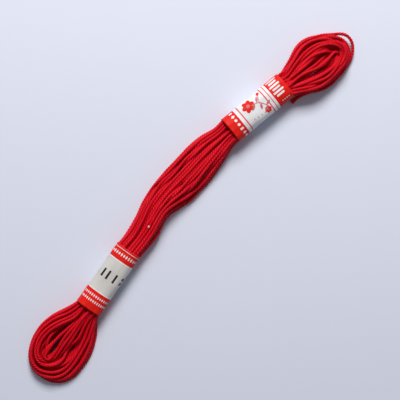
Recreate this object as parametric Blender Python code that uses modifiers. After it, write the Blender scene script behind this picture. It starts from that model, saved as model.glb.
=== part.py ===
"""A pull skein of six-strand embroidery floss, held by two paper bands, as it lies on a table.

The skein lies along X, with its widest end loop at -X and its tip loop at +X. Z is up, and z = 0 is the
table. The origin is under the middle of the whole skein. Tables and sizes are in millimetres, and MM turns
them into metres where a mesh or a curve is made.
"""

import math
from collections import namedtuple

import bmesh
import bpy
from mathutils import Vector

MM = 0.001

# The floss
THREAD_DIAMETER = 1.1
GAP = 0.3

# The paper of the bands, drawn thicker than real paper so that it is a sound solid
PAPER = 0.4

# The oval that every cross-section follows
RING_POINTS = 44
OVAL_POWER = 2.2
SUNK_SHARE = 0.06

STATION_STEP = 2.0
BAND_FLARE = 1.5

Section = namedtuple("Section", "x low high top")
Band = namedtuple("Band", "name start end width height")
Hollow = namedtuple("Hollow", "x y reach_x reach_y depth")
Parting = namedtuple("Parting", "start end width depth")

BANDS = (
    Band("colour_band", (-52.2, -0.3), (-27.2, 2.8), 9.6, 7.4),
    Band("label_band", (28.4, 4.4), (53.4, 0.7), 9.9, 7.6),
)

# The skein seen from above, from edge to edge, and its height: the wide end loop, the waist, the belly
# between the bands and the tip loop
LOOP_SECTIONS = (
    Section(-82.5, -3.4, -0.8, 2.6),
    Section(-81.9, -6.0, 1.6, 3.6),
    Section(-80.6, -9.2, 3.6, 4.4),
    Section(-78.6, -11.5, 5.4, 4.9),
    Section(-75.5, -12.6, 7.3, 5.2),
    Section(-72.0, -12.5, 8.5, 5.3),
    Section(-68.0, -12.3, 9.0, 5.4),
    Section(-64.0, -11.7, 8.5, 5.6),
    Section(-60.0, -10.0, 7.5, 6.0),
    Section(-56.0, -7.7, 5.5, 6.5),
)
BELLY_SECTIONS = (
    Section(-22.0, -1.8, 8.3, 6.6),
    Section(-16.0, -1.4, 10.0, 6.4),
    Section(-11.0, -0.6, 11.4, 6.2),
    Section(-7.0, 0.1, 12.1, 6.0),
    Section(-3.0, -1.0, 12.4, 6.1),
    Section(2.0, -1.8, 12.6, 6.3),
    Section(8.0, -2.1, 12.3, 6.4),
    Section(14.0, -1.6, 12.2, 6.4),
    Section(20.0, -0.7, 11.2, 6.5),
    Section(24.5, -0.2, 10.1, 6.6),
)
TIP_SECTIONS = (
    Section(57.0, -7.9, 5.5, 7.0),
    Section(60.0, -10.0, 6.4, 7.0),
    Section(63.0, -11.4, 7.3, 6.9),
    Section(66.5, -11.8, 7.9, 6.7),
    Section(70.0, -11.3, 7.4, 6.3),
    Section(73.0, -11.2, 5.8, 6.0),
    Section(76.0, -10.5, 3.9, 5.6),
    Section(78.2, -9.0, 1.8, 5.0),
    Section(79.4, -7.0, 0.1, 4.2),
    Section(80.0, -5.2, -1.8, 3.2),
)

# Where the turns of a loop leave its middle low, and the long troughs between bunches of turns
HOLLOWS = (
    Hollow(-71.5, -1.8, 6.0, 3.2, 3.5),
    Hollow(74.6, -5.4, 2.8, 2.4, 3.4),
)
PARTINGS = (
    Parting((-54.0, 0.3), (-68.0, 5.0), 0.9, 1.0),
    Parting((-63.0, -2.0), (-54.0, -0.8), 0.9, 0.8),
    Parting((-24.0, 4.6), (-11.0, 6.4), 0.8, 0.5),
    Parting((-8.0, 2.2), (6.0, 0.2), 1.0, 0.9),
    Parting((-5.0, 11.2), (5.0, 8.4), 0.8, 0.7),
    Parting((3.0, 4.8), (24.0, 4.2), 0.8, 0.5),
    Parting((54.5, -1.8), (64.0, -8.6), 1.0, 1.0),
    Parting((63.0, -4.6), (72.0, -5.6), 0.8, 0.8),
)

# One turn of floss that stands out past the tip loop, and the cut end that lies beside the label band
STRAY_LOOP = (
    (80.75, -1.0, 3.1),
    (81.5, -1.75, 3.0),
    (81.95, -3.3, 2.8),
    (81.75, -5.2, 2.5),
    (81.0, -7.0, 2.2),
    (79.9, -8.3, 2.0),
    (79.0, -9.3, 1.9),
)
THREAD_TAIL = (
    (54.3, -6.5, 0.55),
    (53.1, -6.0, 0.55),
    (52.0, -5.6, 0.55),
    (50.9, -5.4, 0.55),
)


def clear_scene():
    for obj in list(bpy.data.objects):
        bpy.data.objects.remove(obj)


def material(name, colour, roughness):
    made = bpy.data.materials.new(name)
    made.use_nodes = True
    shader = made.node_tree.nodes["Principled BSDF"]
    shader.inputs["Base Color"].default_value = (*colour, 1.0)
    shader.inputs["Roughness"].default_value = roughness
    shader.inputs["Metallic"].default_value = 0.0
    return made


def signed_power(value, power):
    return math.copysign(abs(value) ** power, value)


def oval(half_width, height, base=0.0):
    """The cross-section: an oval whose lowest part is cut flat at base, as (across, z) points."""
    full = height / (1.0 - SUNK_SHARE)
    points = []
    for step in range(RING_POINTS):
        angle = 2.0 * math.pi * (step + 0.5) / RING_POINTS
        across = half_width * signed_power(math.cos(angle), 2.0 / OVAL_POWER)
        up = 0.5 + 0.5 * signed_power(math.sin(angle), 2.0 / OVAL_POWER)
        points.append((across, base + max(0.0, full * (up - SUNK_SHARE))))
    return points


def band_direction(band):
    return (Vector(band.end) - Vector(band.start)).normalized()


def section_in_band(band, x):
    """The skein's section inside a band: the paper's straight oval, less the paper and the gap."""
    along = band_direction(band)
    centre = band.start[1] + (x - band.start[0]) * along.y / along.x
    half = (band.width / 2 - PAPER - GAP) / along.x
    return Section(x, centre - half, centre + half, band.height - PAPER - GAP)


def table_sections():
    """Every row of the skein in order of x, with the rows that the bands set."""
    colour, label = BANDS
    rows = list(LOOP_SECTIONS)
    for band, after in ((colour, BELLY_SECTIONS), (label, TIP_SECTIONS)):
        rows += [section_in_band(band, x) for x in (band.start[0] - GAP, band.end[0] + GAP)]
        rows += after
    return rows


def slopes(rows):
    """How fast each column changes at each row, held level where the column turns back."""
    found = []
    for i, row in enumerate(rows):
        before, after = rows[max(i - 1, 0)], rows[min(i + 1, len(rows) - 1)]
        each = []
        for column in range(1, len(row)):
            left = (row[column] - before[column]) / max(row.x - before.x, 1e-6)
            right = (after[column] - row[column]) / max(after.x - row.x, 1e-6)
            turns_back = left * right <= 0 and 0 < i < len(rows) - 1
            each.append(0.0 if turns_back else 2 * left * right / (left + right) if left + right else 0.0)
        found.append(each)
    return found


def blended(rows, slope, i, x):
    """The section at x between rows i and i + 1, on a smooth curve through both."""
    first, second = rows[i], rows[i + 1]
    span = second.x - first.x
    t = (x - first.x) / span
    weights = (2 * t**3 - 3 * t**2 + 1, t**3 - 2 * t**2 + t, 3 * t**2 - 2 * t**3, t**3 - t**2)
    values = []
    for column in range(1, len(first)):
        parts = (
            first[column],
            slope[i][column - 1] * span,
            second[column],
            slope[i + 1][column - 1] * span,
        )
        values.append(sum(w * p for w, p in zip(weights, parts)))
    return Section(x, *values)


def skein_stations():
    """The sections that the skein's loft runs through, about STATION_STEP apart."""
    rows = table_sections()
    slope = slopes(rows)
    stations = [rows[0]]
    for i in range(len(rows) - 1):
        inside = [b for b in BANDS if b.start[0] <= (rows[i].x + rows[i + 1].x) / 2 <= b.end[0]]
        steps = max(1, math.ceil((rows[i + 1].x - rows[i].x) / STATION_STEP))
        for step in range(1, steps + 1):
            x = rows[i].x + (rows[i + 1].x - rows[i].x) * step / steps
            stations.append(section_in_band(inside[0], x) if inside else blended(rows, slope, i, x))
    return stations


def base_at(x):
    """The height of the skein's underside: on the table, and above the paper inside a band."""
    lift = 0.0
    for band in BANDS:
        outside = max(band.start[0] - x, x - band.end[0], 0.0)
        lift = max(lift, (PAPER + GAP) * max(0.0, 1.0 - max(0.0, outside - GAP) / BAND_FLARE))
    return lift


def hollow_depth(x, y):
    """How far the loops' low middles and the partings take down the top at this place."""
    depth = 0.0
    for hollow in HOLLOWS:
        away = ((x - hollow.x) / hollow.reach_x) ** 2 + ((y - hollow.y) / hollow.reach_y) ** 2
        depth = max(depth, hollow.depth * math.exp(-away))
    place = Vector((x, y))
    for parting in PARTINGS:
        start, end = Vector(parting.start), Vector(parting.end)
        line = end - start
        share = min(1.0, max(0.0, (place - start).dot(line) / line.length_squared))
        away = (place - start - share * line).length / parting.width
        depth = max(depth, parting.depth * math.exp(-(away**2)))
    return depth


def mesh_object(name, mesh_data, finish, collection):
    obj = bpy.data.objects.new(name, mesh_data)
    obj.data.materials.append(finish)
    collection.objects.link(obj)
    return obj


def make_skein(collection, finish):
    """The wound form of the skein, lofted through its sections and closed at both tips."""
    shape = bmesh.new()
    rings = []
    for section in skein_stations():
        base = base_at(section.x)
        middle = (section.low + section.high) / 2
        ring = []
        for across, z in oval((section.high - section.low) / 2, section.top - base, base):
            y = middle + across
            upper = max(0.0, z - base) / (section.top - base)
            z -= hollow_depth(section.x, y) * upper**2
            ring.append(shape.verts.new((section.x * MM, y * MM, z * MM)))
        rings.append(ring)
    for near, far in zip(rings, rings[1:]):
        for i in range(RING_POINTS):
            j = (i + 1) % RING_POINTS
            shape.faces.new((near[i], near[j], far[j], far[i]))
    shape.faces.new(reversed(rings[0]))
    shape.faces.new(rings[-1])
    bmesh.ops.recalc_face_normals(shape, faces=shape.faces)
    made = bpy.data.meshes.new("floss_skein")
    shape.to_mesh(made)
    shape.free()
    made.shade_smooth()
    return mesh_object("floss_skein", made, finish, collection)


def make_band(band, collection, finish):
    """A paper band: an open oval sleeve on the band's own line, with Solidify for the paper."""
    along = band_direction(band)
    across_axis = Vector((-along.y, along.x))
    shape = bmesh.new()
    rings = []
    for end in (band.start, band.end):
        ring = []
        for across, z in oval(band.width / 2, band.height):
            place = Vector(end) + across_axis * across
            ring.append(shape.verts.new((place.x * MM, place.y * MM, z * MM)))
        rings.append(ring)
    for i in range(RING_POINTS):
        j = (i + 1) % RING_POINTS
        shape.faces.new((rings[0][i], rings[0][j], rings[1][j], rings[1][i]))
    made = bpy.data.meshes.new(band.name)
    shape.to_mesh(made)
    shape.free()
    made.shade_smooth()
    sleeve = mesh_object(band.name, made, finish, collection)
    paper = sleeve.modifiers.new("paper", "SOLIDIFY")
    paper.thickness = PAPER * MM
    paper.offset = -1.0
    paper.use_even_offset = True
    return sleeve


def smooth_route(points, steps):
    """Points on a smooth curve through the given ones, steps to each stretch."""
    places = [Vector(p) for p in points]
    route = [places[0]]
    for i in range(len(places) - 1):
        before = places[max(i - 1, 0)]
        after = places[min(i + 2, len(places) - 1)]
        start, end = places[i], places[i + 1]
        for step in range(1, steps + 1):
            t = step / steps
            tangent_in, tangent_out = (end - before) / 2, (after - start) / 2
            route.append(
                start * (2 * t**3 - 3 * t**2 + 1)
                + tangent_in * (t**3 - 2 * t**2 + t)
                + end * (3 * t**2 - 2 * t**3)
                + tangent_out * (t**3 - t**2)
            )
    return route


def make_thread(name, points, collection, finish):
    """A bare length of floss along its route."""
    route = smooth_route(points, 2)
    line = bpy.data.curves.new(name, "CURVE")
    line.dimensions = "3D"
    line.bevel_depth = THREAD_DIAMETER / 2 * MM
    line.bevel_resolution = 2
    line.use_fill_caps = True
    spline = line.splines.new("POLY")
    spline.points.add(len(route) - 1)
    for point, place in zip(spline.points, route):
        point.co = (*(place * MM), 1.0)
    line.materials.append(finish)
    obj = bpy.data.objects.new(name, line)
    collection.objects.link(obj)
    return obj


def main():
    clear_scene()
    collection = bpy.data.collections.new("embroidery_floss_skein")
    bpy.context.scene.collection.children.link(collection)
    floss = material("red_floss", (0.55, 0.008, 0.018), 0.6)
    colour_paper = material("colour_paper", (0.78, 0.76, 0.72), 0.55)
    label_paper = material("label_paper", (0.84, 0.83, 0.82), 0.5)
    make_skein(collection, floss)
    for band, paper in zip(BANDS, (colour_paper, label_paper)):
        make_band(band, collection, paper)
    make_thread("stray_loop", STRAY_LOOP, collection, floss)
    make_thread("thread_tail", THREAD_TAIL, collection, floss)


main()
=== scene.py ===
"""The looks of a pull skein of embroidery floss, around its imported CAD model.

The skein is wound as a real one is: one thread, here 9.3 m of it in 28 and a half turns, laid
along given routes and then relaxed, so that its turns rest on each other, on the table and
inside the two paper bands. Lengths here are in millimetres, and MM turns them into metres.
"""

import itertools
import math

import bmesh
import bpy
import numpy as np
from mathutils import Matrix, Vector


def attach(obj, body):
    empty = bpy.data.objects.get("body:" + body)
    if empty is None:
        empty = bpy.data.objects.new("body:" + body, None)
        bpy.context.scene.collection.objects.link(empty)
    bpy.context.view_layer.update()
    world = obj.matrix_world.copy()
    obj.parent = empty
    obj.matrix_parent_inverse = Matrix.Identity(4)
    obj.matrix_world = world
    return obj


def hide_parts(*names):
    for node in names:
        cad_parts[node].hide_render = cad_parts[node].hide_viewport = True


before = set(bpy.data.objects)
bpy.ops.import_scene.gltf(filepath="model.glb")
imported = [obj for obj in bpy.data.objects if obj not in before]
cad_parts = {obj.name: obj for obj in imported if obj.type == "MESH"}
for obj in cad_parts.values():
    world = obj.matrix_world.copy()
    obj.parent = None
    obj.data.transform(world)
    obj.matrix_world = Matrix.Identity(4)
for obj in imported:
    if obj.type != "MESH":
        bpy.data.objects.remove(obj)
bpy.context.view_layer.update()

MM = 0.001
BODY = "root"
SEED = 11

# ---- the thread ----
TURNS = 28  # whole turns, and then half a one that ends in the tail
CONTACT = 1.0  # how close the middles of two threads may come, mm
RADIUS = 0.50  # of the drawn thread, mm
LOBES = 4  # strands twisted together
LOBE_DEPTH = 0.25  # of the radius
TWIST_PITCH = 4.0  # mm along the thread for one turn of the strands
SIM_STEP = 1.5  # mm between the points that are relaxed
ROUNDS, QUICK_ROUNDS = 600, 160  # of relaxing
SINK = 1.2  # mm that the thread falls while it is relaxed
PULL = 0.02  # how strongly it is drawn back over its route
HOLD = 0.5  # how much more strongly a held point is
PUSH = 1.5  # how far threads that touch are moved, against how far they overlap
EASE = 0.25  # how much a point follows its two neighbours
SQUEEZE = 0.1  # how much closer threads lie inside a band
MARGIN = 0.25  # mm past touching at which threads still count as near
RING_STEP = 0.48  # mm between the rings of the drawn thread
RING_POINTS = 16
SWELL, SWELL_STEP = 0.045, 1.9  # how unevenly thick it is, and mm between the changes
THIN = 0.07  # how much thinner it is inside a band
TWIST_DRIFT, TWIST_KNOTS = 0.8, 1100  # how unevenly it twists, radians, and the changes
TONE_DRIFT, TONE_KNOTS = 0.5, 420  # how unevenly it is dyed, and the changes
PAINTED_GROOVE_SHADE = 1.5  # painted shade: how much darker the grooves between the strands are coloured than the strands
FRAY, FRAY_SPREAD = 2.4, 0.55  # mm over which the thread's end spreads, and how much
TAIL = 9.0  # mm of thread in the tail's piece
STRAY_FROM_X = 80.4  # only the stray loop reaches past this
UV = "along_and_round"

# ---- the bands: start x, y, end x, y, width, height, mm ----
BANDS = {
    "colour": (-52.2, -0.3, -27.2, 2.8, 9.6, 7.4),
    "label": (28.4, 4.4, 53.4, 0.7, 9.9, 7.6),
}
BAND_POWER = 2.6  # how square their ovals are, where 2 is an ellipse
PAPER = 0.12  # thickness, mm
PAPER_FROM, PAPER_TO = -0.60, 0.58  # where the paper starts and ends, in ways round from the top
PAPER_CELLS = (0.45, 0.22)  # mm along and round the band, between the paper's points
# Coloured stripes: from and to, mm along the band, and which of its papers
COLOUR_STRIPES = [(0, 6.9, 1), (6.9, 7.3, 2), (20.0, 20.4, 2), (20.4, 30, 1), (24.25, 24.45, 2)]
LABEL_STRIPES = [(0, 4.9, 1), (6.2, 6.6, 1), (16.4, 16.8, 1), (17.9, 18.2, 1), (19.1, 30, 1)]
PRINT_CELLS = (0.5, 0.3)  # the same between a print's cuts
PRINT_LIFT, LAYER_LIFT = 0.02, 0.015  # mm off the paper, and for each layer of print

# ---- a speck of fluff that is caught on the belly ----
LINT = (-16.3, 3.0)  # x, y
LINT_FIBRES, LINT_RINGS, LINT_SIDES = 14, 9, 5
LINT_RADIUS = 0.05
LINT_SPREAD = 0.17  # of its fibres' bends
LINT_LIFT, LINT_SAG = 0.12, 0.1  # mm that its middle is above its spot, and its lowest bends below

# ---- the camera looks straight down ----
VIEW_CENTRE = (2.84, -4.09, 3.0)
VIEW_WIDTH = 142.8
VIEW_RIGHT = (0.669, -0.743, 0.0)
VIEW_UP = (0.743, 0.669, 0.0)
LENS, SENSOR = 85.0, 36.0

# ---- the stage, in metres ----
TABLE_HALF = 1.2
TABLE_DROP = 0.00002
KEY_TOWARD = (0.75, 0.66, 0.98)
KEY_ENERGY, KEY_SIZE, KEY_DISTANCE = 5.7, 0.28, 0.72
SKY_STRENGTH = 0.20


def smooth(t):
    """A soft step, from 0 at t = 0 to 1 at t = 1."""
    t = np.clip(t, 0, 1)
    return t * t * (3 - 2 * t)


# ---- the thread's routes ----
# The two legs between the loops: x, then the outermost and the innermost turn's y, underside and
# height of pile, and how sharply the pile steps up from a low bunch of the outer turns
LEG_A = [
    (-22.0, 7.0, 0.8, 4.2, 2.6, 0.3, 5.3, 0),
    (-16.0, 8.4, 0.6, 4.2, 3.6, 0.1, 5.9, 0),
    (-11.0, 10.2, 0.6, 4.2, 4.6, 0.0, 6.5, 0.2),
    (-4.0, 11.3, 0.7, 4.2, 5.6, 0.0, 6.8, 0.3),
    (2.0, 11.3, 0.8, 4.2, 5.4, 0.0, 6.7, 0.3),
    (8.0, 11.4, 0.8, 4.2, 5.2, 0.0, 6.5, 0.2),
    (14.0, 11.2, 0.7, 4.2, 5.2, 0.0, 6.2, 0.2),
    (20.0, 10.1, 0.6, 4.2, 5.0, 0.1, 5.8, 0),
    (25.0, 8.4, 0.9, 4.2, 4.6, 0.3, 5.4, 0),
]
LEG_B = [
    (25.0, 0.6, 0.9, 4.2, 4.4, 0.3, 5.4, 0),
    (20.0, -0.2, 0.5, 3.8, 4.8, 0.1, 5.8, 0.2),
    (14.0, -0.8, 0.1, 3.0, 5.0, 0.0, 6.2, 0.8),
    (8.0, -1.2, 0.0, 2.2, 5.0, 0.0, 6.5, 1),
    (2.0, -0.7, 0.0, 2.0, 5.2, 0.0, 6.7, 1),
    (-4.0, 0.7, 0.0, 2.4, 5.4, 0.0, 6.8, 1),
    (-8.0, 1.4, 0.1, 3.4, 5.0, 0.0, 6.7, 0.8),
    (-12.0, 0.9, 0.3, 3.8, 4.4, 0.0, 6.4, 0.3),
    (-16.0, 0.0, 0.5, 4.0, 3.4, 0.1, 5.9, 0),
    (-22.0, -0.8, 0.7, 4.2, 2.4, 0.3, 5.3, 0),
]
# Routes round the tip loop, from leg A to leg B, by the share of turns outside them:
# x, y, underside, height of pile
TIP_ROUTES = {
    0.0: [
        (55.2, 3.9, 0.9, 4.0), (57.6, 4.4, 1.3, 3.8), (61.5, 5.5, 2.3, 3.4), (65.8, 6.8, 2.6, 3.2),
        (69.6, 6.5, 2.3, 3.4), (73.2, 4.3, 1.6, 4.0), (75.8, 2.0, 0.4, 5.0), (77.7, -0.6, 0.0, 5.2),
        (78.4, -3.6, 0.0, 5.0),
        (77.9, -6.8, 0.0, 4.8), (76.2, -9.2, 0.0, 4.6), (73.2, -10.4, 0.0, 4.4),
        (69.4, -10.6, 0.0, 4.2), (65.8, -10.7, 0.2, 4.0), (62.2, -9.9, 0.4, 4.0), (58.0, -7.3, 0.8, 4.6),
    ],
    0.45: [
        (58.0, 1.5, 1.3, 4.0), (62.0, 1.9, 2.5, 3.6), (66.0, 1.9, 2.8, 3.4), (70.0, 1.3, 2.5, 3.4),
        (73.8, 0.0, 1.8, 4.2), (76.2, -2.2, 0.2, 5.0), (76.9, -4.8, 0.0, 5.0), (76.2, -7.2, 0.0, 4.8),
        (73.4, -8.6, 0.0, 4.6), (69.4, -8.9, 0.0, 4.6), (65.4, -8.2, 0.2, 4.6), (61.8, -6.8, 0.4, 4.8),
        (58.0, -4.6, 0.6, 5.2),
    ],
    0.52: [
        (58.0, 1.0, 1.3, 4.0), (62.0, 1.3, 2.5, 3.6), (66.0, 1.1, 2.8, 3.4), (70.0, 0.4, 2.3, 3.4),
        (72.8, -0.8, 1.2, 3.4), (75.0, -3.0, 0.0, 2.2), (75.5, -5.3, 0.0, 1.9), (74.8, -7.0, 0.0, 2.0),
        (72.2, -8.0, 0.0, 3.2), (69.0, -8.4, 0.0, 4.4), (65.4, -7.7, 0.2, 4.6), (61.8, -6.3, 0.4, 4.8),
        (58.0, -4.3, 0.6, 5.2),
    ],
    1.0: [
        (58.0, -2.1, 1.9, 3.8), (62.0, -3.2, 2.8, 3.4), (66.0, -4.6, 2.6, 3.0), (70.0, -5.3, 1.6, 3.2),
        (73.4, -5.4, 0.2, 2.2), (75.0, -5.9, 0.0, 1.5), (73.4, -6.3, 0.0, 1.6), (70.0, -6.1, 0.0, 2.8),
        (66.0, -5.3, 0.0, 3.8), (62.0, -3.7, 0.2, 4.0), (58.0, -2.2, 0.4, 4.4),
    ],
}
# Routes round the left loop, from leg B to leg A
LEFT_ROUTES = {
    0.0: [
        (-54.4, -5.6, 0.4, 4.4), (-57.0, -7.7, 0.2, 4.4), (-61.5, -10.3, 0.0, 4.2), (-66.0, -11.9, 0.0, 4.0),
        (-71.0, -12.5, 0.0, 3.8), (-75.8, -12.5, 0.0, 3.4), (-79.4, -10.3, 0.0, 3.4),
        (-81.6, -6.8, 0.0, 3.6), (-82.3, -2.4, 0.0, 4.0), (-81.0, 1.6, 0.0, 4.4), (-77.6, 4.9, 0.0, 4.6),
        (-73.0, 7.1, 0.0, 4.6), (-68.0, 7.9, 0.0, 4.6), (-63.0, 7.1, 0.0, 4.8), (-58.5, 5.4, 0.3, 5.2),
    ],
    0.12: [
        (-57.0, -6.2, 0.2, 5.2), (-61.5, -9.0, 0.0, 5.2), (-66.0, -10.8, 0.0, 5.0),
        (-71.0, -11.6, 0.0, 4.8), (-75.7, -11.1, 0.0, 4.6), (-79.2, -8.6, 0.0, 4.6),
        (-81.0, -4.2, 0.0, 4.8), (-81.4, -0.8, 0.0, 4.6), (-79.9, 2.6, 0.0, 4.6), (-76.7, 5.3, 0.0, 4.6),
        (-72.6, 7.1, 0.0, 4.6), (-68.0, 7.6, 0.0, 4.6), (-63.0, 6.7, 0.0, 4.8), (-58.5, 5.0, 0.3, 5.2),
    ],
    0.60: [
        (-57.5, -2.2, 0.2, 6.0), (-61.5, -4.4, 0.0, 5.8), (-65.5, -6.2, 0.0, 5.6), (-69.5, -7.0, 0.0, 5.4),
        (-73.0, -6.6, 0.0, 5.2), (-76.0, -4.4, 0.0, 5.0), (-77.5, -1.4, 0.0, 5.0), (-76.9, 1.3, 0.0, 5.2),
        (-74.5, 3.1, 0.0, 5.4), (-70.5, 3.8, 0.0, 5.6), (-66.5, 3.4, 0.0, 5.8), (-62.5, 2.2, 0.0, 6.0),
        (-58.0, 1.1, 0.2, 6.0),
    ],
    0.64: [
        (-57.5, -1.6, 0.6, 5.2), (-61.5, -3.0, 0.8, 4.2), (-65.5, -4.2, 0.7, 3.2), (-69.5, -4.9, 0.6, 2.4),
        (-73.4, -4.6, 0.5, 2.2), (-76.2, -3.2, 0.5, 2.2), (-77.2, -1.0, 0.5, 2.2), (-76.0, 1.0, 0.5, 2.2),
        (-73.2, 2.6, 0.5, 2.2), (-70.0, 3.2, 0.6, 2.4), (-66.0, 3.0, 0.7, 3.0), (-62.0, 2.0, 0.8, 3.8),
        (-58.0, 0.8, 0.2, 5.0),
    ],
    1.0: [
        (-57.5, -0.9, 0.8, 4.8), (-61.0, -1.4, 1.2, 3.8), (-65.0, -1.8, 1.3, 3.2), (-69.0, -2.0, 1.2, 2.6),
        (-73.0, -2.0, 0.9, 2.2), (-75.6, -1.8, 0.6, 2.0), (-76.7, -1.3, 0.5, 2.0), (-75.6, -0.7, 0.6, 2.0),
        (-72.0, -0.6, 0.9, 2.2), (-68.0, -0.6, 1.2, 2.6), (-64.0, -0.5, 1.3, 3.2), (-60.5, -0.3, 1.2, 4.0),
        (-57.5, 0.0, 0.2, 5.0),
    ],
}
LOOP_STATIONS = 16
# Where a turn crosses over to its next place on each leg, mm: the range of the crossing's middle
# and the range of half its length
CROSSING_A = ((-14, 14), (9, 22))
CROSSING_B = ((-10, 4), (8, 16))
PILE_STEP = 0.28  # the share of turns outside where a leg's pile steps up
SHUFFLE, RESHUFFLE = 2.0, 0.7  # places that turns change in the left loop, and more in the tip's
SWIRL, SWIRL_DRIFT, TIP_SWIRL = 0.3, 0.03, 0.6
TIP_WOBBLE = 0.3  # mm
LEFT_WOBBLE, INNER_WOBBLE = 0.15, 0.3  # mm, and more for the innermost turns
LEVEL_DRIFT, SIDE_DRIFT = 0.04, 0.12  # of the pile, and mm
LEVELS = np.array([0.08, 0.68, 0.36, 0.94, 0.52])  # of the pile, for each turn from the outside in
# Where a loop's turns part: x, y, how far that reaches, the share of turns outside the parting,
# its width and how much higher the outer turns lie
TIP_PARTINGS = [
    (76.0, 0.5, 4.5, 0.25, 0.9, 0.8),
    (61.0, -6.6, 5.5, 0.25, 1.0, 0.5),
    (60.5, -5.2, 5.5, 0.50, 0.6, 0.5),
    (60.0, -4.0, 5.0, 0.75, 0.3, 0.4),
]
LEFT_PARTINGS = [
    (-62.5, 3.8, 6.5, 0.40, 0.9, 0.8),
    (-63.5, 2.4, 5.0, 0.62, 0.4, 0.4),
    (-80.0, -7.0, 4.5, 0.12, 0.5, 0.0),
    (-77.0, -8.0, 4.5, 0.30, 0.5, 0.0),
]
# The middle of a loop's pit: x, y and how much nearer to it the low turns lie
TIP_PIT = (74.0, -5.0, 0.1)
LEFT_PIT = (-69.5, -1.5, 0.30)
# The turn that stands out of the tip loop, how it comes back under the others, and the end of
# the thread: x, y, height of its middle
STRAY_TURN = 3
STRAY_STATIONS, LAST_STATIONS = 6, 9  # of the tip loop, before they leave it
STRAY_ROUTE = [
    (75.2, 3.2, 4.1), (77.1, 1.4, 3.9), (78.5, 0.1, 3.7), (79.6, -0.8, 3.45), (80.5, -1.6, 3.25),
    (81.2, -2.6, 3.05), (81.7, -3.8, 2.85), (81.75, -5.0, 2.6), (81.4, -6.3, 2.35), (80.7, -7.5, 2.1),
    (79.7, -8.6, 1.95), (78.4, -9.5, 1.8), (76.6, -10.4, 1.5), (74.4, -10.9, 1.3), (72.0, -11.0, 1.2),
]
STRAY_RETURN = [(68.5, -10.8, 1.3), (65.0, -10.6, 1.6), (61.8, -9.4, 1.9)]
TAIL_ROUTE = [
    (69.0, -11.0, 0.9), (65.5, -11.0, 0.8), (62.0, -9.8, 0.7), (59.0, -8.0, 0.6), (57.0, -6.9, 0.55),
    (55.2, -6.0, 0.55), (53.9, -5.6, 0.6), (52.8, -5.3, 0.7), (51.8, -5.1, 0.8), (50.9, -5.1, 0.75),
]


def through(points, count=None, step=None):
    """A smooth line through the points, evenly spaced: count points, or one every step."""
    p = np.asarray(points, float)
    gaps = np.linalg.norm(np.diff(p[:, :2], axis=0), axis=1)
    at = np.concatenate([[0], np.cumsum(np.maximum(gaps, 1e-6))])
    slope = np.empty_like(p)
    rise = np.diff(p, axis=0) / np.diff(at)[:, None]
    before, after = np.diff(at)[:-1, None], np.diff(at)[1:, None]
    slope[1:-1] = (rise[:-1] * after + rise[1:] * before) / (before + after)
    slope[0], slope[-1] = rise[0], rise[-1]
    fine = np.linspace(0, at[-1], max(400, int(at[-1] / 0.15)))
    i = np.clip(np.searchsorted(at, fine, "right") - 1, 0, len(at) - 2)
    h = (at[i + 1] - at[i])[:, None]
    f = (fine - at[i])[:, None] / h
    line = (
        p[i] * (1 + 2 * f) * (1 - f) ** 2
        + slope[i] * h * f * (1 - f) ** 2
        + p[i + 1] * f * f * (3 - 2 * f)
        + slope[i + 1] * h * f * f * (f - 1)
    )
    along = np.concatenate([[0], np.cumsum(np.linalg.norm(np.diff(line, axis=0), axis=1))])
    want = np.linspace(0, along[-1], count or int(along[-1] / step) + 1)
    return np.stack([np.interp(want, along, line[:, c]) for c in range(p.shape[1])], axis=1)


def band_frame(name):
    """A band's start, the ways along and across it, and its length."""
    x0, y0, x1, y1, *_ = BANDS[name]
    along = np.array([x1 - x0, y1 - y0])
    long = np.linalg.norm(along)
    along /= long
    return (x0, y0), along, np.array([-along[1], along[0]]), long


def band_rows(name, to_left):
    """The legs inside a band: rows like LEG_A's or LEG_B's, from its start to its end."""
    x0, y0, x1, y1, width, height = BANDS[name]
    reach = width / 2 - PAPER - 0.6
    rows = []
    for share in (0.03, 0.35, 0.65, 0.97):
        x, y = x0 + share * (x1 - x0), y0 + share * (y1 - y0)
        # the outer turns lie half way up the oval's side, and the inner ones fill its height;
        # towards the tip loop the inner turns of leg A rise over those of leg B
        lean = 2.4 * share if name == "label" else 0.0
        if to_left:
            outer_y = y - reach
            inner = (y - (0.3 - lean * 0.25), 0.4, height - 1.2 - lean * 1.2)
        else:
            outer_y = y + reach
            inner = (y - (0.3 + lean), 0.4 + lean * 0.9, height - 1.2 - lean * 0.9)
        rows.append((x, outer_y, 1.9, height - 3.8, *inner, 0.0))
    return rows[::-1] if to_left else rows


def leg(rows, share):
    """Where a turn with that share of turns outside it runs: x, y, underside, height of pile."""
    r = np.array(rows)
    low, high, step = r[:, 1:4], r[:, 4:7], r[:, 7]
    rise = smooth(share / 0.35) * (1 - step) + smooth((share - 0.22) / 0.12) * step
    inward_share = np.column_stack([np.full(len(r), share), rise, rise])
    line = np.column_stack([r[:, 0], low + (high - low) * inward_share])
    # the bunches on the two sides of the step draw apart
    inward = np.sign(high[:, 0] - low[:, 0])
    apart = 0.45 if share > PILE_STEP else -0.25
    line[:, 1] += inward * step * apart * math.exp(-abs(share - PILE_STEP) / 0.3)
    return line


def cross_over(rows, shares, levels, middle, half, to_left):
    """A leg on which a turn goes from one share and level to the next, around x = middle."""
    a, b = (leg(rows, share) for share in shares)
    far = smooth((a[:, 0] - middle + half) / (2 * half))[:, None]
    if to_left:
        far = 1 - far
    return a * (1 - far) + b * far, (levels[0] * (1 - far) + levels[1] * far)[:, 0]


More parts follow.
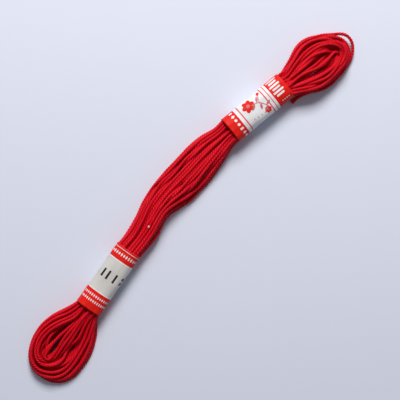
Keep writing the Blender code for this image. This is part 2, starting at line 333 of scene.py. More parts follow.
def loop(routes, partings, share, level, swirl, strays, pit):
    """Where a turn runs round a loop, between the loop's given routes.

    Swirl moves the turn out on one side of the loop and in on the other, and strays move its
    stations to the side. Turns low in the pile lie nearer the middle of the pit.
    """
    keys = sorted(routes)
    lines = np.array([through(routes[k], count=LOOP_STATIONS) for k in keys])
    along = np.linspace(0, 1, LOOP_STATIONS)
    shares = np.clip(share + swirl * np.sin(2 * math.pi * along), 0, 1)
    i = np.clip(np.searchsorted(keys, shares, "right") - 1, 0, len(keys) - 2)
    f = ((shares - np.take(keys, i)) / (np.take(keys, i + 1) - np.take(keys, i)))[:, None]
    at = np.arange(LOOP_STATIONS)
    line = lines[i, at] * (1 - f) + lines[i + 1, at] * f
    away = lines[0][:, :2] - lines[-1][:, :2]
    away /= np.linalg.norm(away, axis=1)[:, None]
    for x, y, far, parted, width, step in partings:
        near = np.exp(-(((line[:, 0] - x) ** 2 + (line[:, 1] - y) ** 2) / far**2))
        near *= math.exp(-abs(share - parted) / 0.16) * (1 if share < parted else -1)
        line[:, :2] += away * (near * width / 2)[:, None]
        line[:, 2] += np.maximum(near * step, 0)
    tangent = np.gradient(line[:, :2], axis=0)
    tangent /= np.linalg.norm(tangent, axis=1)[:, None]
    fade = smooth(np.minimum(along, 1 - along) / 0.2)[:, None]
    line[:, :2] += np.column_stack([-tangent[:, 1], tangent[:, 0]]) * fade * strays[:, None]
    x, y, most = pit
    inward = most * (1 - level) * float(smooth((share - 0.1) / 0.5))
    inward = inward * smooth(np.minimum(along, 1 - along) / 0.3)[:, None]
    line[:, :2] += ((x, y) - line[:, :2]) * inward
    return line


def wander(count, rng):
    """Slow random drift, mostly between -1 and 1."""
    knots = rng.normal(size=count // 5 + 4)
    at = np.arange(count) / 5 + 0.5
    i = at.astype(int)
    f = smooth(at - i)
    return (knots[i] * (1 - f) + knots[i + 1] * f) * 0.8


def wobble(size, rng):
    """How far each station of a loop strays to its side, mm: slowly, and less near its ends."""
    wave = rng.normal(0, size, 4)
    along = np.linspace(0, 1, LOOP_STATIONS)
    return sum(w * np.sin(math.pi * (k + 1) * along) for k, w in enumerate(wave))


def ranks(offsets):
    """A share from 0 to 1 for each turn, from the outside in, with neighbours out of order."""
    count = len(offsets)
    order = np.argsort(np.arange(count) + offsets)
    share = np.empty(count)
    share[order] = (np.arange(count) + 0.5) / count
    return share


def pile_levels(shares):
    """The level in the pile of the turns with those shares."""
    return LEVELS[(shares * len(shares)).astype(int) % len(LEVELS)]


def lay_thread():
    """The thread's route before it is relaxed, and how firmly each point is held, 0 to 1."""
    rng = np.random.default_rng(SEED)
    count = TURNS + 2
    offsets = rng.normal(0, SHUFFLE, count)
    in_left, in_tip = ranks(offsets), ranks(offsets + rng.normal(0, RESHUFFLE, count))
    # the last turn and the stray one lie far out
    in_left[TURNS], in_tip[TURNS], in_tip[STRAY_TURN] = 0.02, 0.03, 0.05
    level_left, level_tip = pile_levels(in_left), pile_levels(in_tip)
    swirls = (level_left - 0.45) * SWIRL + rng.normal(0, SWIRL_DRIFT, count)
    rows_a = band_rows("colour", False) + LEG_A + band_rows("label", False)
    rows_b = band_rows("label", True) + LEG_B + band_rows("colour", True)
    points, held = [], []

    def add(spots, firmly):
        """Adds control points that are held that firmly."""
        points.extend(np.array(spots))
        held.extend([firmly] * len(spots))

    def pile(line, level):
        """Adds free points along a line; level is the place in the pile, from 0 to 1."""
        level = np.clip(level + LEVEL_DRIFT * wander(len(line), rng), 0.03, 0.97)
        room = np.maximum(line[:, 3] - CONTACT, 0.2)
        z = CONTACT / 2 + line[:, 2] + room * level
        side = SIDE_DRIFT * wander(len(line), rng)
        add(np.column_stack([line[:, 0], line[:, 1] + side, z]), 0.0)

    for turn in range(TURNS + 1):
        # along leg A to the tip loop; the thread starts a little way along it
        middle, half = (rng.uniform(*span) for span in CROSSING_A)
        shares, levels = (in_left[turn], in_tip[turn]), (level_left[turn], level_tip[turn])
        line, level = cross_over(rows_a, shares, levels, middle, half, False)
        start = 1 if turn == 0 else 0
        pile(line[start:], level[start:])
        # round the tip loop, whose turns spread into three flat layers over its upper arm
        share, level = in_tip[turn], level_tip[turn]
        swirl, strays = swirls[turn] * TIP_SWIRL, wobble(TIP_WOBBLE, rng)
        line = loop(TIP_ROUTES, TIP_PARTINGS, share, level, swirl, strays, TIP_PIT)
        if turn == STRAY_TURN:
            line = line[:STRAY_STATIONS]
        elif turn == TURNS:
            line = line[:LAST_STATIONS]
        spread = 1 - smooth((np.arange(len(line)) - 6) / 4)
        flat = (int(share * count) % 3 + 0.15) / 2.3
        pile(line, level * (1 - spread) + flat * spread)
        if turn == STRAY_TURN:
            add(STRAY_ROUTE, 1.0)
            add(STRAY_RETURN, 0.0)
        elif turn == TURNS:
            add(TAIL_ROUTE, 1.0)
            break
        # back along leg B to the left loop, and round it
        middle, half = (rng.uniform(*span) for span in CROSSING_B)
        shares, levels = (share, in_left[turn + 1]), (level, level_left[turn + 1])
        pile(*cross_over(rows_b, shares, levels, middle, half, True))
        share, level = in_left[turn + 1], level_left[turn + 1]
        strays = wobble(LEFT_WOBBLE + INNER_WOBBLE * float(smooth((share - 0.6) / 0.3)), rng)
        line = loop(LEFT_ROUTES, LEFT_PARTINGS, share, level, swirls[turn + 1], strays, LEFT_PIT)
        pile(line, level)
    line = through(np.column_stack([np.array(points), np.array(held)]), step=SIM_STEP)
    return line[:, :3], np.clip(line[:, 3], 0, 1)


def near_pairs(middle, reach, apart=3):
    """Every pair of segments whose middles are within reach, from a grid of cells that wide.

    Segments that follow each other along the thread, up to that many apart, are left out.
    """
    cell = np.floor((middle - middle.min(0)) / reach).astype(np.int64) + 1
    size = cell.max(0) + 2
    key = (cell[:, 0] * size[1] + cell[:, 1]) * size[2] + cell[:, 2]
    order = np.argsort(key, kind="stable")
    key = key[order]
    found = []
    for dx, dy, dz in itertools.product((0, 1), (-1, 0, 1), (-1, 0, 1)):
        step = (dx * size[1] + dy) * size[2] + dz
        if step < 0:
            continue
        first = np.searchsorted(key, key + step, "left")
        count = np.searchsorted(key, key + step, "right") - first
        i = np.repeat(np.arange(len(key)), count)
        before = np.repeat(np.cumsum(count) - count, count)
        j = np.arange(len(i)) - before + np.repeat(first, count)
        if step == 0:
            i, j = i[j > i], j[j > i]
        i, j = order[i], order[j]
        near = ((middle[i] - middle[j]) ** 2).sum(1) < reach * reach
        near &= np.abs(i - j) > apart
        found.append((i[near], j[near]))
    return np.concatenate([f[0] for f in found]), np.concatenate([f[1] for f in found])


def closest(p, d, q, e):
    """How far along segments p + s d and q + t e their nearest points are, and the gap there."""
    r = p - q
    dd, ee, de = (np.einsum("ij,ij->i", a, b) for a, b in ((d, d), (e, e), (d, e)))
    dr, er = np.einsum("ij,ij->i", d, r), np.einsum("ij,ij->i", e, r)
    spread = dd * ee - de * de
    s = np.clip((de * er - dr * ee) / np.maximum(spread, 1e-9), 0, 1)
    s = np.where(spread > 1e-3 * dd * ee, s, 0.5)
    t = np.clip((de * s + er) / ee, 0, 1)
    s = np.clip((de * t - dr) / dd, 0, 1)
    return s, t, r + s[:, None] * d - t[:, None] * e


def into_bands(x, radius, held):
    """Moves the threads inside the bands' ovals, apart from the points that are held."""
    for name, (*_, width, height) in BANDS.items():
        start, along, across, long = band_frame(name)
        u, v = (x[:, :2] - start) @ along, (x[:, :2] - start) @ across
        half, tall = width / 2 - PAPER - radius, height / 2 - PAPER - radius
        out = (np.abs(v) / half) ** BAND_POWER + (np.abs(x[:, 2] - height / 2) / tall) ** BAND_POWER
        bad = (u > -0.6) & (u < long + 0.6) & (out > 1) & (held < 0.5)
        shrink = out[bad] ** (-1 / BAND_POWER)
        x[bad, :2] += ((shrink - 1) * v[bad])[:, None] * across
        x[bad, 2] = height / 2 + (x[bad, 2] - height / 2) * shrink


def in_band(x):
    """How far inside a band each point is, 0 to 1, rising over the first 2 mm."""
    share = np.zeros(len(x))
    for name in BANDS:
        start, along, _, long = band_frame(name)
        u = (x[:, :2] - start) @ along
        share = np.maximum(share, smooth(np.minimum(u, long - u) / 2.0))
    return share


def relax(route, held, rounds):
    """Lets the thread settle: its turns push each other apart, sink and keep smooth and as long."""
    x = route.copy()
    n = len(x)
    rest = np.linalg.norm(np.diff(x, axis=0), axis=1)
    free = (1 - held)[:, None]
    tight = 1 - SQUEEZE * in_band(route)
    for k in range(rounds):
        # the threads start thin and thicken over the first half
        wide = CONTACT * min(1.0, 0.45 + 1.1 * k / rounds)
        if k % 12 == 0:
            pair_i, pair_j = near_pairs((x[:-1] + x[1:]) / 2, SIM_STEP + CONTACT + MARGIN)
        if k % 4 == 0:
            to_i, to_j = x[pair_i + 1] - x[pair_i], x[pair_j + 1] - x[pair_j]
            gap = closest(x[pair_i], to_i, x[pair_j], to_j)[2]
            near = np.einsum("ij,ij->i", gap, gap) < (wide + MARGIN) ** 2
            i, j = pair_i[near], pair_j[near]
        x[:, 2] -= SINK / rounds * free[:, 0]
        x[:, :2] += (route[:, :2] - x[:, :2]) * (PULL + HOLD * held[:, None])
        x[:, 2] += (route[:, 2] - x[:, 2]) * HOLD * held
        # threads that touch push each other apart
        s, t, gap = closest(x[i], x[i + 1] - x[i], x[j], x[j + 1] - x[j])
        far = np.sqrt(np.einsum("ij,ij->i", gap, gap)) + 1e-9
        apart = wide * np.minimum(tight[i], tight[j])
        hit = far < apart
        push = gap[hit] * ((apart[hit] - far[hit]) * 0.5 / far[hit])[:, None]
        ends = np.concatenate([i[hit], i[hit] + 1, j[hit], j[hit] + 1])
        share = np.concatenate([1 - s[hit], s[hit], 1 - t[hit], t[hit]])
        push = np.concatenate([push, push, -push, -push]) * share[:, None]
        moved = np.column_stack([np.bincount(ends, push[:, c], n) for c in range(3)])
        x += PUSH * free * moved / np.maximum(np.bincount(ends, share, n), 1)[:, None]
        # each point eases towards its neighbours, and the thread keeps its length
        drift = x - route
        x[1:-1] += EASE * ((drift[:-2] + drift[2:]) / 2 - drift[1:-1])
        for first in (0, 1):
            a = np.arange(first, n - 1, 2)
            d = x[a + 1] - x[a]
            long = np.sqrt(np.einsum("ij,ij->i", d, d)) + 1e-9
            d *= ((long - rest[a]) / long * 0.5)[:, None]
            x[a] += d
            x[a + 1] -= d
        into_bands(x, wide / 2, held)
        x[:, 2] = np.maximum(x[:, 2], CONTACT / 2)
    return x


# ---------------------------------------------------------------- pieces


def ride(name, mesh, materials):
    """A new object of that mesh and those materials, riding on the skein."""
    mesh.shade_smooth()
    for material in materials:
        mesh.materials.append(material)
    obj = bpy.data.objects.new(name, mesh)
    bpy.context.scene.collection.objects.link(obj)
    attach(obj, BODY)
    return obj


def to_scene(name, points, faces, materials, uv=None, tones=None, face_ink=None):
    """A new piece from points in mm and faces with the same number of corners."""
    mesh = bpy.data.meshes.new(name)
    points, faces = np.asarray(points, np.float32) * MM, np.asarray(faces, np.int32)
    corners = faces.shape[1]
    mesh.vertices.add(len(points))
    mesh.vertices.foreach_set("co", points.ravel())
    mesh.loops.add(faces.size)
    mesh.loops.foreach_set("vertex_index", faces.ravel())
    mesh.polygons.add(len(faces))
    mesh.polygons.foreach_set("loop_start", np.arange(0, faces.size, corners, dtype=np.int32))
    if face_ink is not None:
        mesh.polygons.foreach_set("material_index", np.asarray(face_ink, np.int32))
    mesh.update(calc_edges=True)
    mesh.validate()
    if uv is not None:
        layer = mesh.uv_layers.new(name=UV)
        layer.data.foreach_set("uv", np.asarray(uv, np.float32).ravel())
    if tones is not None:
        tone = mesh.attributes.new("tone", "FLOAT", "POINT")
        tone.data.foreach_set("value", np.asarray(tones, np.float32))
    return ride(name, mesh, materials)


# ---------------------------------------------------------------- the drawn thread


def outward(line, angle):
    """Directions out from a line, at each of its points, for angles round it."""
    ahead = np.gradient(line, axis=0)
    ahead /= np.linalg.norm(ahead, axis=1)[:, None]
    side = np.cross(ahead, (0.0, 0.0, 1.0))
    side /= np.maximum(np.linalg.norm(side, axis=1), 1e-6)[:, None]
    up = np.cross(side, ahead)
    return np.cos(angle)[..., None] * side[:, None] + np.sin(angle)[..., None] * up[:, None]


def tube_faces(rings, sides):
    """The faces of an open tube, and the ring and the side that each belongs to."""
    r, k = np.meshgrid(np.arange(rings - 1), np.arange(sides), indexing="ij")
    here, there = r * sides + k, r * sides + (k + 1) % sides
    return np.stack([here, there, there + sides, here + sides], axis=-1).reshape(-1, 4), r, k


def uneven(along, count, rng):
    """Random values along the thread, from that many even knots."""
    return np.interp(along, np.linspace(0, along[-1], count), rng.normal(size=count))


def drawn_line(x):
    """The relaxed thread at RING_STEP, softened once and kept off the table."""
    soft = x.copy()
    soft[1:-1] = 0.25 * x[:-2] + 0.5 * x[1:-1] + 0.25 * x[2:]
    line = through(soft, step=RING_STEP)
    line[:, 2] = np.maximum(line[:, 2], RADIUS * 0.96)
    return line


def thread_pieces(line, cuts, floss):
    """The thread as closed tubes of four twisted strands: a piece for each name and its rings."""
    rng = np.random.default_rng(SEED + 1)
    along = np.arange(len(line)) * RING_STEP
    knots = np.arange(0, along[-1] + 3.0, SWELL_STEP)
    swell = 1 + SWELL * np.interp(along, knots, rng.normal(size=len(knots)))
    fray = 1 + FRAY_SPREAD * smooth((along - along[-1] + FRAY) / FRAY)
    radius = RADIUS * swell * fray * (1 - THIN * in_band(line))
    angle = np.arange(RING_POINTS) * 2 * math.pi / RING_POINTS
    lobe = 1 + LOBE_DEPTH * np.cos(LOBES * angle)
    turn = 2 * math.pi * along / TWIST_PITCH + TWIST_DRIFT * uneven(along, TWIST_KNOTS, rng)
    ring = outward(line, angle[None, :] + turn[:, None])
    points = line[:, None] + ring * (radius[:, None] * lobe[None, :])[..., None]
    points[..., 2] = np.maximum(points[..., 2], 0.01)
    tone = uneven(along, TONE_KNOTS, rng) * TONE_DRIFT
    made = []
    for name, (start, end) in cuts.items():
        rings = np.arange(start, end)
        faces, r, k = tube_faces(len(rings), RING_POINTS)
        # each end closes with quads across the ring
        last = (len(rings) - 1) * RING_POINTS
        caps = []
        for c in range(RING_POINTS // 2 - 1):
            a0, a1, b0, b1 = c, c + 1, RING_POINTS - 1 - c, RING_POINTS - 2 - c
            caps.append((a0, b0, b1, a1))
            caps.append((last + a0, last + a1, last + b1, last + b0))
        faces = np.concatenate([faces, np.array(caps)])
        # u in mm along the thread, v once round it and fixed in space, so that u is the fibres' way
        at, side = np.stack([r, r, r + 1, r + 1], -1), np.stack([k, k + 1, k + 1, k], -1)
        v = side / RING_POINTS + turn[rings][at] / (2 * math.pi)
        uv = np.stack([along[rings][at], v], -1).reshape(-1, 2)
        uv = np.concatenate([uv, np.zeros((4 * len(caps), 2))])
        # the uneven dye, plus painted shade that colours the grooves between the strands darker
        tones = (tone[rings, None] + PAINTED_GROOVE_SHADE * np.cos(LOBES * angle)[None, :]).ravel()
        made.append(to_scene(name, points[rings].reshape(-1, 3), faces, [floss], uv, tones))
    return made


def lint(line):
    """A speck of pale fluff on the belly: a few short curled fibres, joined."""
    rng = np.random.default_rng(SEED + 4)
    near = np.hypot(line[:, 0] - LINT[0], line[:, 1] - LINT[1]) < 0.7
    top = line[near, 2].max() + RADIUS * 1.05
    angle = np.arange(LINT_SIDES) * 2 * math.pi / LINT_SIDES
    tube, *_ = tube_faces(LINT_RINGS, LINT_SIDES)
    points, faces = [], []
    for fibre in range(LINT_FIBRES):
        bends = rng.normal(0, LINT_SPREAD, (4, 3)) * (1, 1, 0.45) + (*LINT, top + LINT_LIFT)
        curl = through(bends, count=LINT_RINGS)
        curl[:, 2] = np.maximum(curl[:, 2], top - LINT_SAG)
        points.append((curl[:, None] + LINT_RADIUS * outward(curl, angle)).reshape(-1, 3))
        faces.append(tube + fibre * LINT_RINGS * LINT_SIDES)
    fluff, *_ = node_material("pale_fluff", (0.86, 0.62, 0.56), 0.8)
    to_scene("lint_speck", np.concatenate(points), np.concatenate(faces), [fluff])


# ---------------------------------------------------------------- materials


def node_material(name, color, roughness, **sockets):
    """A Principled material, and its nodes, links and shader; _ is a space in a socket's name."""
    mat = bpy.data.materials.new(name)
    mat.use_nodes = True
    shader = mat.node_tree.nodes["Principled BSDF"]
    shader.inputs["Base Color"].default_value = (*color, 1)
    shader.inputs["Roughness"].default_value = roughness
    for key, value in sockets.items():
        shader.inputs[key.replace("_", " ")].default_value = value
    mat.diffuse_color = (*color, 1)
    return mat, mat.node_tree.nodes, mat.node_tree.links, shader


def noise(nodes, links, vector, scale, detail):
    """A noise texture's value."""
    texture = nodes.new("ShaderNodeTexNoise")
    texture.inputs["Scale"].default_value = scale
    texture.inputs["Detail"].default_value = detail
    links.new(vector, texture.inputs["Vector"])
    return texture.outputs["Fac"]


def add_share(nodes, links, value, share, base):
    """That share of one value, added to another."""
    math_node = nodes.new("ShaderNodeMath")
    math_node.operation = "MULTIPLY_ADD"
    math_node.inputs[1].default_value = share
    links.new(value, math_node.inputs[0])
    links.new(base, math_node.inputs[2])
    return math_node.outputs[0]


def tint(nodes, links, shader, value, low_stop, high_stop):
    """Colours the shader by a value, between two stops: each a position and a colour."""
    ramp = nodes.new("ShaderNodeValToRGB")
    for element, (position, color) in zip(ramp.color_ramp.elements, (low_stop, high_stop)):
        element.position, element.color = position, (*color, 1)
    links.new(value, ramp.inputs["Fac"])
    links.new(ramp.outputs["Color"], shader.inputs["Base Color"])


def emboss(nodes, links, shader, height, strength, distance):
    """Roughens the shader's surface by a height; the distance is in metres."""
    bump = nodes.new("ShaderNodeBump")
    bump.inputs["Strength"].default_value = strength
    bump.inputs["Distance"].default_value = distance
    links.new(height, bump.inputs["Height"])
    links.new(bump.outputs["Normal"], shader.inputs["Normal"])


def floss_material():
    """Mercerised cotton: it shines across its fibres, its dye is uneven along them, and painted shade
    darkens the grooves between its strands.
    """
    mat, nodes, links, shader = node_material(
        "red_floss", (0.60, 0.004, 0.012), 0.42, Anisotropic=0.85, Anisotropic_Rotation=0.25,
        Specular_IOR_Level=0.5, Specular_Tint=(1.0, 0.22, 0.27, 1),
    )
    fibres = nodes.new("ShaderNodeTangent")
    fibres.direction_type = "UV_MAP"
    fibres.uv_map = UV
    links.new(fibres.outputs["Tangent"], shader.inputs["Tangent"])
    # the tone attribute holds the uneven dye and the painted shade in the grooves between the strands
    tone = nodes.new("ShaderNodeAttribute")
    tone.attribute_name = "tone"
    uv = nodes.new("ShaderNodeUVMap")
    uv.uv_map = UV
    scale = nodes.new("ShaderNodeMapping")
    scale.inputs["Scale"].default_value = (0.9, 16.0, 1.0)
    links.new(uv.outputs["UV"], scale.inputs["Vector"])
    streaks = noise(nodes, links, scale.outputs["Vector"], 1.0, 3)
    # the dye's drift and streaks, together with the painted shade of the grooves
    dye_and_groove_shade = add_share(nodes, links, tone.outputs["Fac"], 0.14, streaks)
    tint(nodes, links, shader, dye_and_groove_shade, (0.32, (0.58, 0.001, 0.008)), (0.68, (0.73, 0.004, 0.018)))
    emboss(nodes, links, shader, streaks, 0.7, 0.00008)
    return mat


def paper_material(name, color, roughness=0.5, coat=0.1, shine=0.5):
    """Printed paper: faint fibres in its colour and surface, and a slight shine."""
    mat, nodes, links, shader = node_material(
        name, color, roughness, Coat_Weight=coat, Coat_Roughness=0.3, Specular_IOR_Level=shine
    )
    place = nodes.new("ShaderNodeTexCoord").outputs["Object"]
    fibre, cloud = noise(nodes, links, place, 1400, 5), noise(nodes, links, place, 160, 3)
    pulp = add_share(nodes, links, fibre, 0.45, cloud)
    dark, pale = [c * 0.9 for c in color], [min(1, c * 1.05) for c in color]
    tint(nodes, links, shader, pulp, (0.45, dark), (0.95, pale))
    emboss(nodes, links, shader, pulp, 0.15, 0.00003)
    return mat


# ---------------------------------------------------------------- the paper bands


def section(name):
    """A band's outline, once and a half round: the way round from its top, across and height."""
    *_, width, height = BANDS[name]
    half, tall = width / 2, height / 2
    angle = np.linspace(-math.pi * 1.5, math.pi * 1.5, 1441)
    c, s = np.cos(angle + math.pi / 2), np.sin(angle + math.pi / 2)
    v = half * np.sign(c) * np.abs(c) ** (2 / BAND_POWER)
    w = tall * np.sign(s) * np.abs(s) ** (2 / BAND_POWER)
    round_it = np.concatenate([[0], np.cumsum(np.hypot(np.diff(v), np.diff(w)))])
    round_it -= np.interp(0, angle, round_it)
    return -round_it[::-1], v[::-1], w[::-1] + tall


SECTIONS = {name: section(name) for name in BANDS}
PERIMETER = {name: float(np.ptp(rows[0]) / 1.5) for name, rows in SECTIONS.items()}


def band_spot(name, u, s, lift=0.0):
    """Where the paper is u mm along a band and s mm round from its top, towards +Y, in mm."""
    (x0, y0), along, across, long = band_frame(name)
    width, around = BANDS[name][4], PERIMETER[name]
    round_it, v, w = SECTIONS[name]
    u, s = np.broadcast_arrays(np.asarray(u, float), np.asarray(s, float))
    pv, pw = np.interp(s, round_it, v), np.interp(s, round_it, w)
    step = 0.05
    dv = np.interp(s + step, round_it, v) - np.interp(s - step, round_it, v)
    dw = np.interp(s + step, round_it, w) - np.interp(s - step, round_it, w)
    size = np.hypot(dv, dw)
    nv, nw = -dw / size, dv / size
    # soft marks of the threads beneath, stronger near the ends, and a slight flare of the ends
    edge = np.minimum(u, long - u)
    wave = 0.05 * np.sin(s * 2.45 + 0.5 * np.sin(u * 0.35) + width) * np.exp(-edge / 5)
    wave += 0.05 * np.sin(u * 0.42 + s * 0.9) + 0.03 * np.sin(u * 1.1 - s * 1.7)
    wave += 0.10 * np.exp(-((edge / 0.7) ** 2)) - 0.05
    # the paper's two ends overlap, low on the +Y side
    rise = lift + wave + 0.14 * smooth((s + around / 2) / around)
    pv, pw = pv + nv * rise, pw + nw * rise
    x, y = x0 + along[0] * u + across[0] * pv, y0 + along[1] * u + across[1] * pv
    return np.stack([x, y, np.maximum(pw, 0.02)], axis=-1)


def paper_band(name, node, stripes, papers):
    """The band's paper: a strip round the skein whose ends overlap, coloured in stripes."""
    *_, long = band_frame(name)
    long_step, round_step = PAPER_CELLS
    edges = sorted({0.0, long, *[min(max(e, 0), long) for row in stripes for e in row[:2]]})
    us = [edges[0]]
    for a, b in zip(edges, edges[1:]):
        us.extend(np.linspace(a, b, max(1, round((b - a) / long_step)) + 1)[1:])
    us = np.array(us)
    start, end = PAPER_FROM * PERIMETER[name], PAPER_TO * PERIMETER[name]
    ss = np.linspace(start, end, int((end - start) / round_step))
    spots = band_spot(name, us[None, :], ss[:, None])
    rows, cols = len(ss), len(us)
    r, c = np.meshgrid(np.arange(rows - 1), np.arange(cols - 1), indexing="ij")
    here = r * cols + c
    faces = np.stack([here, here + 1, here + cols + 1, here + cols], axis=-1).reshape(-1, 4)
    middle = (us[:-1] + us[1:]) / 2
    ink = np.zeros(cols - 1, int)
    for a, b, which in stripes:
        ink[(middle > a) & (middle < b)] = which
    face_ink = np.tile(ink, rows - 1)
    obj = to_scene(node + "_paper", spots.reshape(-1, 3), faces, papers, face_ink=face_ink)
    solid = obj.modifiers.new("thickness", "SOLIDIFY")
    solid.thickness, solid.offset = PAPER * MM, -1
    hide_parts(node)
    return obj


def ride_prints(name, node, shapes, inks):
    """Printed shapes laid on a band: flat polygons in (u, s), cut fine enough to follow it."""
    bm = bmesh.new()
    for outline, ink, layer in shapes:
        face = bm.faces.new([bm.verts.new((u, s, layer)) for u, s in outline])
        face.material_index = ink
    for axis, step in enumerate(PRINT_CELLS):
        spread = [v.co[axis] for v in bm.verts]
        normal = Vector((1 - axis, axis, 0))
        for cut in np.arange(min(spread) + step, max(spread), step):
            everything = bm.verts[:] + bm.edges[:] + bm.faces[:]
            bmesh.ops.bisect_plane(
                bm, geom=everything, dist=1e-5, plane_co=normal * cut, plane_no=normal
            )
    bmesh.ops.triangulate(bm, faces=bm.faces[:])
    flat = np.array([v.co[:] for v in bm.verts])
    lift = PRINT_LIFT + LAYER_LIFT * flat[:, 2]
    spots = band_spot(name, flat[:, 0], flat[:, 1], lift) * MM
    for v, p in zip(bm.verts, spots):
        v.co = p
    bmesh.ops.recalc_face_normals(bm, faces=bm.faces[:])
    mesh = bpy.data.meshes.new(node + "_print")
    bm.to_mesh(mesh)
    bm.free()
    return ride(mesh.name, mesh, inks)


def placed(outline, u, s, turn):
    """An outline turned by that angle and moved to (u, s)."""
    c, t = math.cos(turn), math.sin(turn)
    return [(u + a * c - b * t, s + a * t + b * c) for a, b in outline]


def bar(u, s, long, wide, corner=0.25):
    """A bar with rounded corners, long along the band."""
    # a little under half of each side, so that no two corners meet
    r = min(corner, long / 2.01, wide / 2.01)
    out = []
    for cu, cs, a0 in ((1, 1, 0), (-1, 1, 90), (-1, -1, 180), (1, -1, 270)):
        for a in np.radians(np.linspace(a0, a0 + 90, 5)):
            at_u, at_s = cu * (long / 2 - r), cs * (wide / 2 - r)
            out.append((at_u + r * math.cos(a), at_s + r * math.sin(a)))
    return placed(out, u, s, 0.0)


def oval(u, s, long, wide, turn=0.0, points=20):
    """An oval, or a diamond when it has four points."""
    angles = np.linspace(0, 2 * math.pi, points, endpoint=False)
    out = [(long / 2 * math.cos(a), wide / 2 * math.sin(a)) for a in angles]
    return placed(out, u, s, turn)


def leaf(u, s, long, wide, turn):
    """A pointed leaf that grows from (u, s)."""
    ts = np.linspace(0, 1, 9)
    top = [(long * k, wide / 2 * math.sin(math.pi * k) ** 0.9) for k in ts]
    low = [(a, -b) for a, b in top[::-1][1:-1]]
    return placed(top + low, u, s, turn)


def stroke(points, wide):
    """A line of that width through a few points, as one strip."""
    p = through(np.array([(a, b, 0.0) for a, b in points]), count=14)[:, :2]
    d = np.gradient(p, axis=0)
    d /= np.linalg.norm(d, axis=1)[:, None]
    n = np.column_stack([-d[:, 1], d[:, 0]]) * wide / 2
    return [tuple(q) for q in np.concatenate([p + n, (p - n)[::-1]])]


def marks(u, s_from, s_to, tall, pitch, rng):
    """An even row of plain ornaments round the band: blocks, dots and diamonds."""
    out = []
    for s in np.arange(s_from, s_to, -pitch):
        kind = rng.integers(3)
        if kind == 0:
            out.append(bar(u, s, tall * 0.8, pitch * 0.46))
        elif kind == 1:
            out.append(oval(u, s, tall * 0.62, pitch * 0.62, points=14))
        else:
            out.append(oval(u, s, tall * 0.95, pitch * 0.72, points=4))
    return out


def colour_band_prints():
    """The colour band's prints: each an outline, its ink and its layer."""
    rng = np.random.default_rng(SEED + 2)
    white, black = 0, 1
    shapes = []
    for u, tall, pitch in ((3.3, 1.25, 0.85), (5.2, 1.25, 0.85), (22.6, 1.6, 1.0)):
        shapes += [(m, white, 0) for m in marks(u, 5.0, -6.2, tall, pitch, rng)]
    for s, long in ((2.9, 3.2), (0.9, 3.4), (-1.9, 3.4)):
        shapes.append((bar(14.0, s, long, 0.75, corner=0.1), black, 0))
    shapes += [(oval(u, -4.9, 1.3, 1.3), black, 0) for u in (13.4, 15.2)]
    return shapes


def flower(u, s, reach, long, wide, heart):
    """Six petals round (u, s), with a heart on top: the outlines, inks and layers."""
    red, pink = 1, 2
    petals = []
    for turn in np.radians(np.arange(0, 360, 60)):
        at_u, at_s = u + reach * math.cos(turn), s + reach * math.sin(turn)
        petals.append((oval(at_u, at_s, long, wide, turn), red, 0))
    return [*petals, (oval(u, s, heart, heart), pink, 1)]


def label_band_prints():
    """The label band's prints: each an outline, its ink and its layer."""
    rng = np.random.default_rng(SEED + 3)
    white, red, pink = 0, 1, 2
    shapes = [(m, white, 0) for m in marks(3.5, 4.8, -6.0, 1.7, 1.75, rng)]
    # a border of rounded bars and dots
    for k in range(6):
        long = 4.3 if k % 2 == 0 else 3.3
        shapes.append((bar(21.8, 4.9 - k * 1.25, long, 0.72, corner=0.35), white, 0))
    shapes += [(oval(21.0 + 0.9 * k, -3.9, 0.5, 0.5), white, 0) for k in range(4)]
    # two flowers and a bud on a stem, with leaves, and a row of dots
    shapes.append((stroke([(11.0, 2.0), (13.4, 1.3), (15.2, -0.8), (16.0, -2.8)], 0.32), pink, 0))
    shapes.append((stroke([(13.9, 1.0), (14.6, 2.6), (15.2, 3.6)], 0.26), pink, 0))
    shapes += flower(10.0, 2.5, 1.3, 2.3, 1.7, 1.4)
    shapes += flower(15.0, -2.9, 0.7, 1.25, 0.95, 0.8)
    shapes.append((oval(15.3, 4.0, 1.5, 1.1, 0.9), red, 0))
    leaves = (
        (12.4, 1.7, 2.6, -2.5), (14.2, 0.6, 2.4, -2.0), (13.2, 1.5, 2.4, 1.0),
        (15.4, -1.2, 2.2, 0.3), (15.6, -1.6, 2.2, -2.6),
    )
    shapes += [(leaf(u, s, long, 0.9, turn), pink, 1) for u, s, long, turn in leaves]
    shapes += [(oval(9.0 + 1.5 * k, -2.6 - 0.15 * k, 0.42, 0.42), pink, 0) for k in range(5)]
    return shapes


# ---------------------------------------------------------------- the scene


def light(name, energy, size, toward, distance, color):
    """A square area light, that far from the skein in that direction, facing it."""
    data = bpy.data.lights.new(name, "AREA")
    data.energy, data.size, data.color = energy, size, color
    obj = bpy.data.objects.new(name, data)
    direction = Vector(toward).normalized()
    obj.location = direction * distance
    obj.rotation_euler = direction.to_track_quat("Z", "Y").to_euler()
    bpy.context.scene.collection.objects.link(obj)


def make_stage():
    """A pale blue table, one large soft light and a faint sky."""
    mesh = bpy.data.meshes.new("table")
    corners = [(x * TABLE_HALF, y * TABLE_HALF, 0) for x, y in ((-1, -1), (1, -1), (1, 1), (-1, 1))]
    mesh.from_pydata(corners, [], [(0, 1, 2, 3)])
    table, *_ = node_material("table", (0.715, 0.75, 0.865), 0.85)
    mesh.materials.append(table)
    obj = bpy.data.objects.new("table", mesh)
    obj.location.z = -TABLE_DROP
    bpy.context.scene.collection.objects.link(obj)
    world = bpy.data.worlds.new("studio")
    world.use_nodes = True
    back = world.node_tree.nodes["Background"]
    back.inputs["Color"].default_value = (0.86, 0.9, 1.0, 1)
    back.inputs["Strength"].default_value = SKY_STRENGTH
    bpy.context.scene.world = world
    light("key", KEY_ENERGY, KEY_SIZE, KEY_TOWARD, KEY_DISTANCE, (1.0, 0.985, 0.97))
    bpy.context.scene.view_settings.view_transform = "Standard"


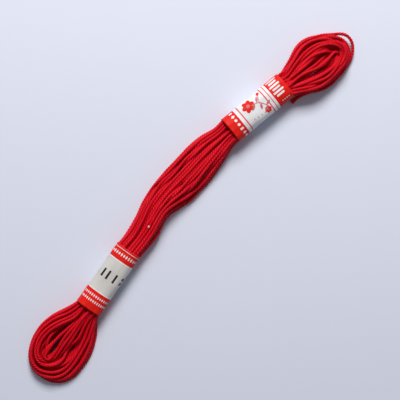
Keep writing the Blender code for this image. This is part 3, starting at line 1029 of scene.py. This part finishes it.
def make_camera():
    """Straight above, rolled so that the skein rises to the right at 48 degrees."""
    data = bpy.data.cameras.new("camera")
    data.lens, data.sensor_width = LENS, SENSOR
    data.clip_start, data.clip_end = 0.01, 10.0
    obj = bpy.data.objects.new("camera", data)
    right, up = Vector(VIEW_RIGHT).normalized(), Vector(VIEW_UP).normalized()
    place = Matrix((right, up, right.cross(up))).transposed().to_4x4()
    x, y, z = VIEW_CENTRE
    place.translation = Vector((x, y, z + VIEW_WIDTH * LENS / SENSOR)) * MM
    obj.matrix_world = place
    bpy.context.scene.collection.objects.link(obj)
    bpy.context.scene.camera = obj


def make_thread():
    """The whole thread as pieces, and the fluff on it."""
    floss = floss_material()
    route, held = lay_thread()
    line = drawn_line(relax(route, held, ROUNDS))
    n = len(line)
    # the stray loop's piece reaches a few rings further than the loop stands out
    stray = np.flatnonzero(line[:, 0] > STRAY_FROM_X)
    first, last = int(stray[0]) - 4, int(stray[-1]) + 5
    tail = n - int(TAIL / RING_STEP)
    third = (tail - last) // 3
    cuts = {
        "floss_turns_a": (0, first + 1),
        "stray_loop_turn": (first, last + 1),
        "floss_turns_b": (last, last + third + 1),
        "floss_turns_c": (last + third, last + 2 * third + 1),
        "floss_turns_d": (last + 2 * third, tail + 1),
        "thread_tail_end": (tail, n),
    }
    stand_for = {"stray_loop_turn": "stray_loop", "thread_tail_end": "thread_tail"}
    for obj in thread_pieces(line, cuts, floss):
        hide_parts(stand_for.get(obj.name, "floss_skein"))
    lint(line)


def make_bands():
    """Both paper bands and their prints."""
    ink_red = paper_material("red_ink", (0.76, 0.010, 0.004), 0.55, coat=0.0, shine=0.2)
    ink_white = paper_material("white_ink", (0.83, 0.80, 0.80), 0.45)
    ink_black = paper_material("black_ink", (0.012, 0.012, 0.014), 0.4)
    ink_pink = paper_material("pink_ink", (0.62, 0.13, 0.15), 0.42)
    grey = paper_material("grey_paper", (0.66, 0.63, 0.59))
    white = paper_material("white_paper", (0.80, 0.80, 0.81))
    colour = paper_band("colour", "colour_band", COLOUR_STRIPES, [grey, ink_red, white])
    prints = ride_prints("colour", "colour_band", colour_band_prints(), [ink_white, ink_black])
    label = paper_band("label", "label_band", LABEL_STRIPES, [white, ink_red])
    inks = [ink_white, ink_red, ink_pink]
    prints = ride_prints("label", "label_band", label_band_prints(), inks)


make_camera()
make_stage()
make_thread()
make_bands()
